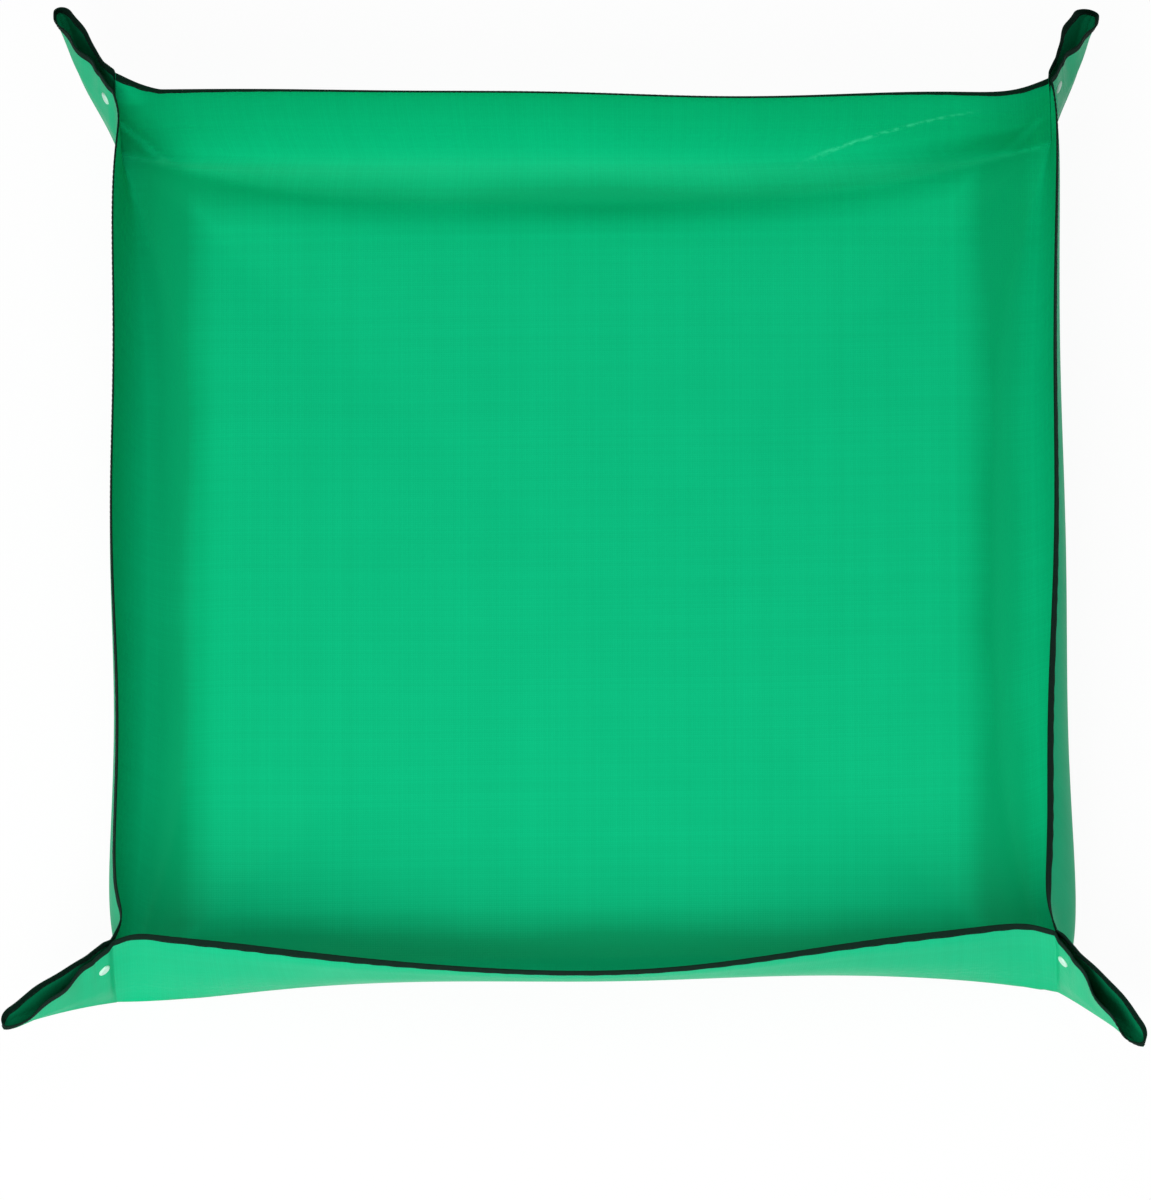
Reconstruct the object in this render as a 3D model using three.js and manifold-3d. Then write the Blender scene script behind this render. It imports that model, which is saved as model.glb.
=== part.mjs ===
// Repotting mat: a square sheet of coated cloth with a bound edge. Snaps pinch its corners, so the
// sides stand as the walls of a tray and each corner sticks out as a two-layer ear.
// Millimetres, +Z up, origin at the middle of the underside, the front wall towards -Y.
import * as THREE from 'three';
import { mergeVertices } from 'three/addons/utils/BufferGeometryUtils.js';
import Module from 'manifold-3d';

// Cloth sheet
const BASE_HALF = 380; // half the side of the tray, at the feet of its corners
const CORNER_HEIGHT = 120; // height of a pinched corner
const CLOTH = 0.8; // thickness of the coated cloth
const CORNER_ROLL = 6; // reach of the floor's bend at a corner, where the fold is tight
const ROLL_RISE = 0.8; // height of the bend's upper control point, as a share of its reach
const ROLL_LEAD = 0.25; // distance of its lower control point from the corners' line, likewise
const ROLL_POWER = 4; // the bend keeps its reach along a wall, and tightens near the corners
const BOW_POWER = 1.3; // the bow of a rim fades towards the corners
const TURN_DIP = 4; // how far a rim dips in just before it turns out into an ear
const TURN_REACH = 25; // distance of that dip from the corner

// Walls in order round the tray. roll is the reach of the floor's bend at mid-wall, rimOut how far the
// rim bows out, rimDrop how far it sags, lean how far the wall slopes out above its bend, and sway how
// far the rim's far end leans in.
const WALLS = [
  { name: 'front', roll: 48, rimOut: 29, rimDrop: 10, lean: 27, sway: 0 },
  { name: 'right', roll: 49, rimOut: -2, rimDrop: 10, lean: -8, sway: 14 },
  { name: 'back', roll: 52, rimOut: -5, rimDrop: 10, lean: -3, sway: -4 },
  { name: 'left', roll: 62, rimOut: 2, rimDrop: 10, lean: 0, sway: -3 },
];

// Binding tape: a folded strip that straddles the edge of the cloth
const BINDING = 0.6; // thickness of the tape
const BINDING_WIDTH = 10; // width on each side of the edge
const CLEAR = 0.3; // gap between pieces that lie on each other

// Ears: two leaves on either side of the pinched crease, joined at a slanting fold, the keel
const EAR_LENGTH = 118; // from the crease to the tip, along the top edge
const EAR_START = 1.2; // distance of the leaves' inner ends from the crease's axis
const PINCH_FLAT = 20; // stretch beside the snap where the leaves lie parallel
const KEEL_HALF = 0.75; // half the gap between the middles of the two leaves at the keel
const KEEL_FOOT = 1; // height of the keel's lower end
const KEEL_BLEND = 0.3; // share of a leaf's height over which it leaves the keel
const TIP_HEIGHT = 10; // height of the rounded tip
const BARE_SHARE = 0.35; // least share of a leaf's height that the binding leaves bare, near the tip
const GAPE_SHARPNESS = 2.5; // how far towards the tip the mouth is widest
const DROOP_POWER = 1.6; // the sag of an ear grows with its length to this power

// angle is the heading of the ear, droop the sag of its tip, gape half the opening of its mouth, and
// studSide the side of the ear, to the left (1) or right (-1) of its heading, that carries the stud.
const EARS = [
  { name: 'front_left', x: -1, y: -1, angle: 220, droop: 0, gape: 8, studSide: 1 },
  { name: 'front_right', x: 1, y: -1, angle: 310, droop: 40, gape: 9, studSide: -1 },
  { name: 'back_right', x: 1, y: 1, angle: 70, droop: 65, gape: 9, studSide: -1 },
  { name: 'back_left', x: -1, y: 1, angle: 117, droop: 48, gape: 8, studSide: 1 },
];

// Snap fasteners
const SNAP_OUT = 12; // distance of a snap from the crease
const SNAP_DROP = 36; // distance of a snap below the rim
const SNAP_GAP = 4; // room between the two leaves for the stud and the socket
const CAP_RADIUS = 5.4;
const CAP_DOME = 1.2; // height of a cap above its rim
const CAP_EDGE = 0.35; // height of a cap's rim
const SHANK_RADIUS = 1.3; // rivet shank under a cap
const FLANGE_RADIUS = 4.8; // flange of the stud and body of the socket
const FLANGE = 0.8; // thickness of the stud's flange
const SOCKET_BASE = 0.5; // thickness of the socket's bottom
const KNOB_RADIUS = 2.3;
const KNOB_NECK = 0.3; // how much thinner the stud's neck is than its knob
const KNOB_LENGTH = 1.8;
const CHAMFER = 0.4;

// Facets
const WALL_STATIONS = [0.25, 0.48, 0.66, 0.79, 0.88, 0.935, 0.965, 0.985]; // from mid-wall to a corner
const WALL_STEPS = 8; // up a wall, as far as the hem
const EDGE_STEP = WALL_STEPS + 1;
const FLAT_STEPS = 3; // along the parallel stretch of an ear
const MOUTH_STEPS = 10; // along its mouth
const LEAF_STEPS = 5; // up a leaf, as far as its hem
const TOP_STEP = LEAF_STEPS + 1;
const SNAP_SIDES = 14;
const DOME_STEPS = 3; // over a cap

const CLOTH_COLOUR = 0x08ba7a;
const BINDING_COLOUR = 0x0b1c14;
const SNAP_COLOUR = 0xcdeedd;
const clothMaterial = plainMaterial(CLOTH_COLOUR, 0.45);
const bindingMaterial = plainMaterial(BINDING_COLOUR, 0.8);
const snapMaterial = plainMaterial(SNAP_COLOUR, 0.35);

function plainMaterial(color, roughness) {
  return new THREE.MeshStandardMaterial({ color, roughness, metalness: 0 });
}

const wasm = await Module();
wasm.setup();

const repottingMat = new THREE.Group();

function addPiece(parent, name, geometry, material) {
  const piece = new THREE.Mesh(geometry, material.clone());
  piece.name = name;
  parent.add(piece);
  return piece;
}

// A closed mesh from points and triangles, turned so that its faces point out.
function closedGeometry(points, triangles) {
  let volume = 0;
  for (const [a, b, c] of triangles) {
    volume += points[a].dot(points[b].clone().cross(points[c]));
  }
  const facing = volume > 0 ? triangles : triangles.map(([a, b, c]) => [a, c, b]);
  const geometry = new THREE.BufferGeometry().setFromPoints(points);
  geometry.setIndex(facing.flat());
  geometry.computeVertexNormals();
  return geometry;
}

// Joins rings of points, all of one length, into a tube. Each cap is a list of quads in its ring. A face
// between two rings is split from its lower corner on one to its upper corner on the next, so that
// layers which lie on each other are split alike.
function loftGeometry(rings, capQuads) {
  const count = rings[0].length;
  const triangles = [];
  const addQuad = (a, b, c, d) => triangles.push([a, b, c], [a, c, d]);
  for (let r = 0; r + 1 < rings.length; r += 1) {
    for (let p = 0; p < count; p += 1) {
      const next = (p + 1) % count;
      const corners = [r * count + p, r * count + next, (r + 1) * count + next, (r + 1) * count + p];
      if (rings[r][next].z < rings[r][p].z) {
        corners.push(corners.shift());
      }
      addQuad(...corners);
    }
  }
  const last = (rings.length - 1) * count;
  for (const [a, b, c, d] of capQuads) {
    addQuad(d, c, b, a);
    addQuad(last + a, last + b, last + c, last + d);
  }
  return closedGeometry(rings.flat(), triangles);
}

// Cross-section of a wall at u, from -1 at one corner to 1 at the next, as (out, up) from the foot of
// the corners: along the floor, round the bend and up to the hem, the straight stretch that the binding
// covers.
function wallSection(wall, u) {
  const bow = Math.max(0, 1 - u * u) ** BOW_POWER;
  const roll = CORNER_ROLL + (wall.roll - CORNER_ROLL) * (1 - u ** ROLL_POWER);
  const fromCorner = (1 - Math.abs(u)) * BASE_HALF;
  const dip = TURN_DIP * (fromCorner / TURN_REACH) * Math.exp(1 - fromCorner / TURN_REACH);
  const rim = wall.rimOut * bow + wall.sway * u * bow - dip;
  const height = CORNER_HEIGHT - wall.rimDrop * bow;
  const edge = new THREE.Vector2(rim, height);
  const bend = new THREE.Vector2(rim - wall.lean * bow, roll * ROLL_RISE);
  const hem = edge.clone().sub(bend).setLength(BINDING_WIDTH);
  return new THREE.CubicBezierCurve(
    new THREE.Vector2(-roll, 0),
    new THREE.Vector2(-roll * ROLL_LEAD, 0),
    bend,
    edge.sub(hem),
  );
}

// The outside and the inside of the cloth at one step up a wall's cross-section. The step after the
// last one of the curve is the edge of the cloth, at the top of the hem.
function wallLayers(section, step) {
  const share = Math.min(step / WALL_STEPS, 1);
  const along = section.getTangent(share);
  const outside = section.getPoint(share);
  if (step > WALL_STEPS) {
    outside.addScaledVector(along, BINDING_WIDTH);
  }
  const inside = new THREE.Vector2(-along.y, along.x).multiplyScalar(CLOTH).add(outside);
  return { outside, inside, middle: outside.clone().lerp(inside, 0.5) };
}

// A point of a wall's cross-section, in place on the front wall before it is turned to its side.
function wallPoint(u, out, up) {
  return new THREE.Vector3(u * (BASE_HALF + out), -(BASE_HALF + out), up);
}

function turned(point, index) {
  return point.applyAxisAngle(new THREE.Vector3(0, 0, 1), index * Math.PI / 2);
}

const stations = [
  -1,
  ...WALL_STATIONS.map((u) => -u).reverse(),
  0,
  ...WALL_STATIONS,
  1,
];

// Floor and walls: columns of points run up the outside and the inside of the walls all the way round,
// and the floor is a fan from its middle.
function sheetGeometry() {
  const points = [new THREE.Vector3(0, 0, 0), new THREE.Vector3(0, 0, CLOTH)];
  const columns = [];
  WALLS.forEach((wall, index) => {
    for (const u of stations.slice(0, -1)) {
      const section = wallSection(wall, u);
      const column = { outside: [], inside: [] };
      for (let step = 0; step <= EDGE_STEP; step += 1) {
        const { outside, inside } = wallLayers(section, step);
        column.outside.push(points.push(turned(wallPoint(u, outside.x, outside.y), index)) - 1);
        column.inside.push(points.push(turned(wallPoint(u, inside.x, inside.y), index)) - 1);
      }
      columns.push(column);
    }
  });
  const triangles = [];
  columns.forEach((column, index) => {
    const next = columns[(index + 1) % columns.length];
    for (let step = 0; step < EDGE_STEP; step += 1) {
      const [a, b] = [column.outside[step], next.outside[step]];
      const [c, d] = [next.outside[step + 1], column.outside[step + 1]];
      triangles.push([a, b, c], [a, c, d]);
      const [e, f] = [column.inside[step], next.inside[step]];
      const [g, h] = [next.inside[step + 1], column.inside[step + 1]];
      triangles.push([e, g, f], [e, h, g]);
    }
    triangles.push([0, next.outside[0], column.outside[0]]);
    triangles.push([1, column.inside[0], next.inside[0]]);
    const [a, b] = [column.outside[EDGE_STEP], next.outside[EDGE_STEP]];
    const [c, d] = [next.inside[EDGE_STEP], column.inside[EDGE_STEP]];
    triangles.push([a, b, c], [a, c, d]);
  });
  return closedGeometry(points, triangles);
}

// Section of the binding, a folded U, from the foot of the hem to just over the edge of the cloth. Both
// are in the middle of the cloth: across is square to it there, and up runs on past its edge.
const innerHalf = CLOTH / 2 + CLEAR;
const outerHalf = innerHalf + BINDING;
function bindingRing(foot, footAcross, edge, edgeAcross, up) {
  const atFoot = (half) => foot.clone().addScaledVector(footAcross, half);
  const overEdge = (half, over) => edge.clone().addScaledVector(edgeAcross, half).addScaledVector(up, over);
  return [
    atFoot(outerHalf),
    overEdge(outerHalf, CLEAR + BINDING),
    overEdge(-outerHalf, CLEAR + BINDING),
    atFoot(-outerHalf),
    atFoot(-innerHalf),
    overEdge(-innerHalf, CLEAR),
    overEdge(innerHalf, CLEAR),
    atFoot(innerHalf),
  ];
}
const BINDING_CAPS = [
  [0, 1, 6, 7],
  [1, 2, 5, 6],
  [2, 3, 4, 5],
];

function rimBindingGeometry(wall) {
  const rings = stations.map((u) => {
    const section = wallSection(wall, u);
    const foot = wallLayers(section, WALL_STEPS).middle;
    const edge = wallLayers(section, EDGE_STEP).middle;
    const up = section.getTangent(1);
    const across = new THREE.Vector2(up.y, -up.x);
    const ring = bindingRing(foot, across, edge, across, up);
    return ring.map((at) => wallPoint(u * (1 - CLEAR / BASE_HALF), at.x, at.y));
  });
  return loftGeometry(rings, BINDING_CAPS);
}

addPiece(repottingMat, 'mat_sheet', sheetGeometry(), clothMaterial);
WALLS.forEach((wall, index) => {
  const name = `${wall.name}_rim_binding`;
  const binding = addPiece(repottingMat, name, rimBindingGeometry(wall), bindingMaterial);
  binding.rotation.z = index * Math.PI / 2;
});

// A point in the middle of a leaf's cloth, in the ear's own frame: X along the ear, Z up. along runs
// from -FLAT_STEPS at the crease, by 0 where the mouth opens, to MOUTH_STEPS at the tip, and rise from
// 0 at the keel to 1 at the top edge.
function leafPoint(ear, side, along, rise) {
  const reach = Math.sqrt(EAR_LENGTH ** 2 - ear.droop ** 2);
  const turn = Math.PI * Math.max(along, 0) / MOUTH_STEPS;
  const mouthLength = reach - PINCH_FLAT;
  const flatOut = EAR_START + (PINCH_FLAT - EAR_START) * (1 + along / FLAT_STEPS);
  const out = along < 0 ? flatOut : PINCH_FLAT + mouthLength * (1 - Math.cos(turn)) / 2;
  const sharp = GAPE_SHARPNESS;
  const widest = 2 * ((sharp + 1) / (sharp + 2)) ** ((sharp + 1) / 2) / Math.sqrt(sharp + 2);
  const gape = ear.gape * Math.sin(turn) * Math.sin(turn / 2) ** sharp / widest;
  const leaving = THREE.MathUtils.smoothstep(rise, 0, KEEL_BLEND);
  const parallel = (SNAP_GAP / 2 + CLOTH / 2 - KEEL_HALF) * Math.cos(turn / 2) * leaving;
  const across = KEEL_HALF + parallel + gape * rise;
  const sag = ear.droop * (out / reach) ** DROOP_POWER;
  const top = CORNER_HEIGHT - sag;
  const keel = KEEL_FOOT + (CORNER_HEIGHT - TIP_HEIGHT - KEEL_FOOT) * out / reach - sag;
  return new THREE.Vector3(out, side * across, THREE.MathUtils.lerp(keel, top, rise));
}

// The directions up a leaf and square to it, at one of its points.
function leafDirections(ear, side, along, rise) {
  const nudge = 0.01;
  const ahead = leafPoint(ear, side, along + nudge, rise).sub(leafPoint(ear, side, along - nudge, rise));
  const upward = leafPoint(ear, side, along, rise + nudge).sub(leafPoint(ear, side, along, rise - nudge));
  const square = ahead.clone().cross(upward).normalize();
  return { upward: square.clone().cross(ahead).normalize(), square };
}

function toSolid(geometry) {
  const bare = geometry.clone();
  bare.deleteAttribute('normal');
  bare.deleteAttribute('uv');
  const merged = mergeVertices(bare);
  const mesh = new wasm.Mesh({
    numProp: 3,
    vertProperties: new Float32Array(merged.attributes.position.array),
    triVerts: new Uint32Array(merged.index.array),
  });
  return new wasm.Manifold(mesh);
}

function fromSolid(solid) {
  const mesh = solid.getMesh();
  const geometry = new THREE.BufferGeometry();
  geometry.setAttribute('position', new THREE.BufferAttribute(mesh.vertProperties, 3));
  geometry.setIndex(new THREE.BufferAttribute(mesh.triVerts, 1));
  geometry.computeVertexNormals();
  return geometry;
}

const snapHeight = CORNER_HEIGHT - SNAP_DROP;

// How far up a leaf one of its rows lies: even steps from the keel to the foot of the hem, then its edge.
function leafRise(ear, side, along, step) {
  const height = leafPoint(ear, side, along, 1).distanceTo(leafPoint(ear, side, along, 0));
  const hemFoot = Math.max(1 - BINDING_WIDTH / height, BARE_SHARE);
  return step > LEAF_STEPS ? 1 : hemFoot * step / LEAF_STEPS;
}

// One leaf of an ear: its cloth, with the hole for the snap's shank.
function leafGeometry(ear, side) {
  const rings = [];
  for (let along = -FLAT_STEPS; along <= MOUTH_STEPS; along += 1) {
    const outside = [];
    const inside = [];
    for (let step = 0; step <= TOP_STEP; step += 1) {
      const rise = leafRise(ear, side, along, step);
      const middle = leafPoint(ear, side, along, rise);
      const { square } = leafDirections(ear, side, along, rise);
      outside.push(middle.clone().addScaledVector(square, CLOTH / 2));
      inside.push(middle.clone().addScaledVector(square, -CLOTH / 2));
    }
    rings.push([...outside, ...inside.reverse()]);
  }
  const last = 2 * TOP_STEP + 1;
  const caps = Array.from({ length: TOP_STEP }, (_, step) => [step, step + 1, last - step - 1, last - step]);
  const leaf = toSolid(loftGeometry(rings, caps));
  const drill = new THREE.CylinderGeometry(
    SHANK_RADIUS + CLEAR,
    SHANK_RADIUS + CLEAR,
    SNAP_GAP,
    SNAP_SIDES,
  );
  drill.translate(SNAP_OUT, side * (SNAP_GAP + CLOTH) / 2, snapHeight);
  return fromSolid(leaf.subtract(toSolid(drill)));
}

function leafBindingGeometry(ear, side) {
  const rings = [];
  for (let along = -FLAT_STEPS; along <= MOUTH_STEPS; along += 1) {
    const hemFoot = leafRise(ear, side, along, LEAF_STEPS);
    const foot = leafPoint(ear, side, along, hemFoot);
    const edge = leafPoint(ear, side, along, 1);
    const atFoot = leafDirections(ear, side, along, hemFoot);
    const atEdge = leafDirections(ear, side, along, 1);
    rings.push(bindingRing(foot, atFoot.square, edge, atEdge.square, atEdge.upward));
  }
  return loftGeometry(rings, BINDING_CAPS);
}

// Snap pieces are turned about the snap's axis. Heights run from the middle of the pinch outwards.
const leafInside = SNAP_GAP / 2;
const leafOutside = leafInside + CLOTH;
const seat = leafInside - CLEAR;
const studFace = seat - FLANGE;
const socketFace = studFace - CLEAR;
const knobEnd = studFace - KNOB_LENGTH;
const shankHole = SHANK_RADIUS + CLEAR;

function turnedPiece(profile) {
  const points = profile.map(([radius, height]) => new THREE.Vector2(radius, height));
  return new THREE.LatheGeometry(points, SNAP_SIDES);
}

function capGeometry(shankEnd) {
  const rim = leafOutside + CLEAR;
  const profile = [
    [0, shankEnd],
    [SHANK_RADIUS, shankEnd],
    [SHANK_RADIUS, rim],
    [CAP_RADIUS - CAP_EDGE, rim],
  ];
  for (let step = 0; step < DOME_STEPS; step += 1) {
    const turn = step / DOME_STEPS * Math.PI / 2;
    profile.push([CAP_RADIUS * Math.cos(turn), rim + CAP_EDGE + CAP_DOME * Math.sin(turn)]);
  }
  profile.push([0, rim + CAP_EDGE + CAP_DOME]);
  return turnedPiece(profile);
}

function studGeometry() {
  const neck = KNOB_RADIUS - KNOB_NECK;
  return turnedPiece([
    [0, knobEnd],
    [KNOB_RADIUS - CHAMFER, knobEnd],
    [KNOB_RADIUS, knobEnd + CHAMFER],
    [neck, studFace - CHAMFER],
    [neck, studFace],
    [FLANGE_RADIUS - CHAMFER, studFace],
    [FLANGE_RADIUS, studFace + CHAMFER],
    [FLANGE_RADIUS, seat],
    [shankHole, seat],
    [shankHole, knobEnd + CHAMFER * 2],
    [0, knobEnd + CHAMFER * 2],
  ]);
}

// The socket faces the other way: its mouth lies past the middle of the pinch.
function socketGeometry() {
  const mouth = -socketFace;
  const bore = KNOB_RADIUS + CLEAR;
  return turnedPiece([
    [bore, mouth],
    [FLANGE_RADIUS - CHAMFER, mouth],
    [FLANGE_RADIUS, mouth + CHAMFER],
    [FLANGE_RADIUS, seat - CHAMFER],
    [FLANGE_RADIUS - CHAMFER, seat],
    [shankHole, seat],
    [shankHole, seat - SOCKET_BASE],
    [bore, seat - SOCKET_BASE],
    [bore, mouth],
  ]);
}

function addSnapPiece(earGroup, name, geometry, side) {
  const piece = addPiece(earGroup, name, geometry, snapMaterial);
  piece.position.set(SNAP_OUT, 0, snapHeight);
  piece.rotation.x = side > 0 ? 0 : Math.PI;
}

for (const ear of EARS) {
  const earGroup = new THREE.Group();
  earGroup.position.set(ear.x * BASE_HALF, ear.y * BASE_HALF, 0);
  earGroup.rotation.z = THREE.MathUtils.degToRad(ear.angle);
  repottingMat.add(earGroup);
  const halves = [['stud', ear.studSide], ['socket', -ear.studSide]];
  for (const [half, side] of halves) {
    addPiece(earGroup, `${ear.name}_ear_${half}_leaf`, leafGeometry(ear, side), clothMaterial);
    addPiece(earGroup, `${ear.name}_${half}_leaf_binding`, leafBindingGeometry(ear, side), bindingMaterial);
  }
  addSnapPiece(earGroup, `${ear.name}_stud_cap`, capGeometry(knobEnd + CHAMFER * 2 + CLEAR), ear.studSide);
  addSnapPiece(earGroup, `${ear.name}_stud`, studGeometry(), ear.studSide);
  addSnapPiece(earGroup, `${ear.name}_socket`, socketGeometry(), -ear.studSide);
  addSnapPiece(earGroup, `${ear.name}_socket_cap`, capGeometry(seat - SOCKET_BASE), -ear.studSide);
}

export default repottingMat;
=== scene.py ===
# Repotting mat: a square of coated green cloth with a dark bound edge. A snap pinches each corner, so
# that the sides stand up as the walls of a shallow tray and the corners stick out as ears.
# Metres, +Z up, with the front wall towards -Y.
import math

import bpy
import numpy as np
from mathutils import Matrix


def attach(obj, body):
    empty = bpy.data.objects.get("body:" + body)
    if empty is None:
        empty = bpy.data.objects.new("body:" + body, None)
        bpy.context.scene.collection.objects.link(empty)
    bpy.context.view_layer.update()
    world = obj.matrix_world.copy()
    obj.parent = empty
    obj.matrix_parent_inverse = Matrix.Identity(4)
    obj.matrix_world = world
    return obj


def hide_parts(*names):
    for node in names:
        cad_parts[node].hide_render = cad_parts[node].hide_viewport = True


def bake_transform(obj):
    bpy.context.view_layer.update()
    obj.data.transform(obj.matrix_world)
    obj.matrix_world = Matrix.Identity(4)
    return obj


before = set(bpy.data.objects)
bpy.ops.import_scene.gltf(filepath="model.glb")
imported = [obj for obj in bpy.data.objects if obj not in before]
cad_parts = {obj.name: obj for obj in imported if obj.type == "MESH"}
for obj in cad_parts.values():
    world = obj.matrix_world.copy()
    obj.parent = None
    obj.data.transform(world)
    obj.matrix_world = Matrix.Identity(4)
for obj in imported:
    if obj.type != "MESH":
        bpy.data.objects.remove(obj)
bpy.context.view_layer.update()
scene = bpy.context.scene
scene.view_settings.view_transform = "Standard"

# Camera: a long lens, high up in front of the mat and a little to its right, rolled by a few degrees,
# because the mat lies slightly askew. From so far off, the tray shows almost as in a parallel view.
CAMERA_ELEVATION = math.radians(65)
CAMERA_AZIMUTH = math.radians(2.5)
CAMERA_ROLL = math.radians(-2.88)
CAMERA_DISTANCE = 38.0
CAMERA_SIGHT = 100
CAMERA_AIM = (-0.0085, -0.0260, 0.0)
CAMERA_LENS = 1406
CAMERA_SENSOR = 36


def stand_off(distance, elevation, azimuth):
    """Where a thing stands from what it points at. The azimuth runs from the front round to the right."""
    reach = distance * math.cos(elevation)
    return np.array([reach * math.sin(azimuth), -reach * math.cos(azimuth), distance * math.sin(elevation)])


camera_turn = Matrix.Rotation(CAMERA_AZIMUTH, 3, "Z")
camera_turn = camera_turn @ Matrix.Rotation(math.pi / 2 - CAMERA_ELEVATION, 3, "X")
camera_turn = camera_turn @ Matrix.Rotation(CAMERA_ROLL, 3, "Z")
camera_place = CAMERA_AIM + stand_off(CAMERA_DISTANCE, CAMERA_ELEVATION, CAMERA_AZIMUTH)
bpy.ops.object.select_all(action="DESELECT")
bpy.ops.object.camera_add(location=tuple(camera_place), rotation=camera_turn.to_euler())
camera = bpy.context.object
camera.data.lens = CAMERA_LENS
camera.data.sensor_width = CAMERA_SENSOR
camera.data.clip_end = CAMERA_SIGHT
scene.camera = camera

# Floor and walls: one sheet of green coated cloth, cut flat. Its sides turn up from the floor in a wide
# roll, which tightens towards the corners, and each rim bows and waves a little between two snaps.
BASE_HALF = 0.380
CORNER_HEIGHT = 0.120
CLOTH = 0.0004
WALLS = ("front", "right", "back", "left")

# A wall's section rolls up from the floor and ends in a straight hem. A list has one value for each wall,
# and a pair in it is for the wall's first and last end.
ROLL = (0.037, 0.049, 0.052, 0.062)
ROLL_POWER = ((3.5, 1.2), (1, 1), (1, 1), (1, 1))
ROLL_RISE = 0.8
ROLL_LEAD = 0.25
CORNER_ROLL = 0.0001
LEAN = (0.031, -0.008, -0.003, 0.0)
HEM = 0.010
CURL = (0.005, 0.001, 0.006, 0.001)
CURL_REACH = 0.026
SECTION_STEPS = 32

# A rim's line between two snaps: its bow, its waves, and the dip before each corner.
RIM_OUT = (0.032, 0.0015, 0.0025, 0.001)
RIM_DROP = 0.010
BOW_POWER = (2.2, 1.3, 1.3, 1.3)
SWAY = (-0.005, 0.010, 0.0136, -0.006)
WAVE = (0.0012, 0.0016, 0.0008, 0.0018)
WAVE_TURNS = (2.3, 1.9, 2.6, 2.1)
WAVE_START = (0.4, 2.1, 1.2, 1.4)
CORNER_DIP = ((0.0045, 0.0050), (0.0060, -0.0040), (0.0078, 0.0), (0.0040, 0.0075))
DIP_REACH = ((0.015, 0.024), (0.030, 0.040), (0.028, 0.026), (0.020, 0.015))

# Slack in the cloth: bellies over the foot of a wall, pleats below a snap, and a low swell of the floor.
# TUCK_PEAK is one over the highest value of a pleat's curve, so that TUCK is the pleat's height.
BELLY = ((0.0, 0.0), (0.061, 0.004), (0.0, 0.0), (0.0, 0.020))
BELLY_POWER = 2.5
BELLY_START = 0.025
TUCK = ((0.0, 0.0), (0.0, 0.0), (0.0006, 0.0020), (0.0006, 0.0))
TUCK_FOOT = 0.030
TUCK_TOP = 0.062
TUCK_WIDTH = 0.0045
TUCK_PEAK = 2.33
SWELL = 0.004
SWELL_REACH = 0.045

# The pinched creases. A list has one value for each corner, from the front left round to the back left.
EAR_HEADING = tuple(math.radians(angle) for angle in (220, 310, 70, 117))
EAR_FLARE = (0.0, 0.0, 0.0, 0.0139)
NEAR_SIDE = (1, -1, -1, 1)
FLARE_FROM = 0.72
FLARE_REACH = 0.038
FLARE_POWER = 1.35
CREASE_HALF = 0.0001
CREASE_FOLD = 0.02
HEM_HALF = 0.0009
PARTING_REACH = 0.014
PARTING_FOOT = 0.006


def smooth(share):
    """A smooth step from 0 to 1."""
    share = np.clip(share, 0, 1)
    return share * share * (3 - 2 * share)


def above_snap(rise):
    """A smooth step from 0 below the snap to 1 at the rim."""
    return smooth((rise - FLARE_FROM) / (1 - FLARE_FROM))


def crease_room(rise):
    """Half the room between the two layers at a pinched crease, from the floor (0) to the rim (1)."""
    return CREASE_HALF * (1 - np.exp(-rise / CREASE_FOLD)) + (HEM_HALF - CREASE_HALF) * above_snap(rise)


def flare(ear, side, rise):
    """How far the far layer of a crease swings away above the snap."""
    return np.where(side == NEAR_SIDE[ear], 0, EAR_FLARE[ear]) * above_snap(rise)


def near_end(u, first, last):
    """A value of the nearer end of a wall, which runs from -1 to 1."""
    return np.where(u < 0, first, last)


def from_corner(u):
    """Distance along a wall from its nearer end."""
    return (1 - np.abs(u)) * BASE_HALF


def fade_to_ends(u):
    """1 along most of a wall, falling to 0 at its two ends."""
    return np.clip(1 - u ** 4, 0, 1)


def corner_dip(wall, u):
    """How far a rim dips in before it swings out into the ear."""
    away = from_corner(u) / near_end(u, *DIP_REACH[wall])
    return near_end(u, *CORNER_DIP[wall]) * away * np.exp(1 - away)


def belly(wall, u):
    """How far a wall bulges over its foot, from its first end to its last."""
    first, last = BELLY[wall]
    start = 1 - np.exp(-from_corner(u) / BELLY_START)
    return (first * ((1 - u) / 2) ** BELLY_POWER + last * ((1 + u) / 2) ** BELLY_POWER) * start


def tuck(wall, u, up):
    """A slanting pleat from the snap down to the foot of the wall: a ridge with a valley beside it."""
    along = from_corner(u)
    width = TUCK_WIDTH * math.hypot(1 / TUCK_FOOT, 1 / TUCK_TOP)
    beside = (along / TUCK_FOOT + up / TUCK_TOP - 1) / width
    height = near_end(u, *TUCK[wall]) * TUCK_PEAK
    return height * beside * np.exp(-beside ** 2) * smooth(along / TUCK_WIDTH)


def wall_shape(wall, u):
    """Reach of the floor's bend, its upper point and the edge of the cloth, as (out, up) from the foot."""
    bow = np.clip(1 - u ** 2, 0, 1) ** BOW_POWER[wall]
    tightening = fade_to_ends(u) ** near_end(u, *ROLL_POWER[wall])
    roll = CORNER_ROLL + (ROLL[wall] - CORNER_ROLL) * tightening
    wave = WAVE[wall] * np.sin(WAVE_TURNS[wall] * math.pi * u + WAVE_START[wall]) * np.sqrt(bow)
    rim = (RIM_OUT[wall] + SWAY[wall] * u) * bow + wave - corner_dip(wall, u)
    edge = np.stack([rim, CORNER_HEIGHT - RIM_DROP * bow], -1)
    bend = np.stack([rim - LEAN[wall] * bow + belly(wall, u), roll * ROLL_RISE], -1)
    return roll, bend, edge


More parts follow.
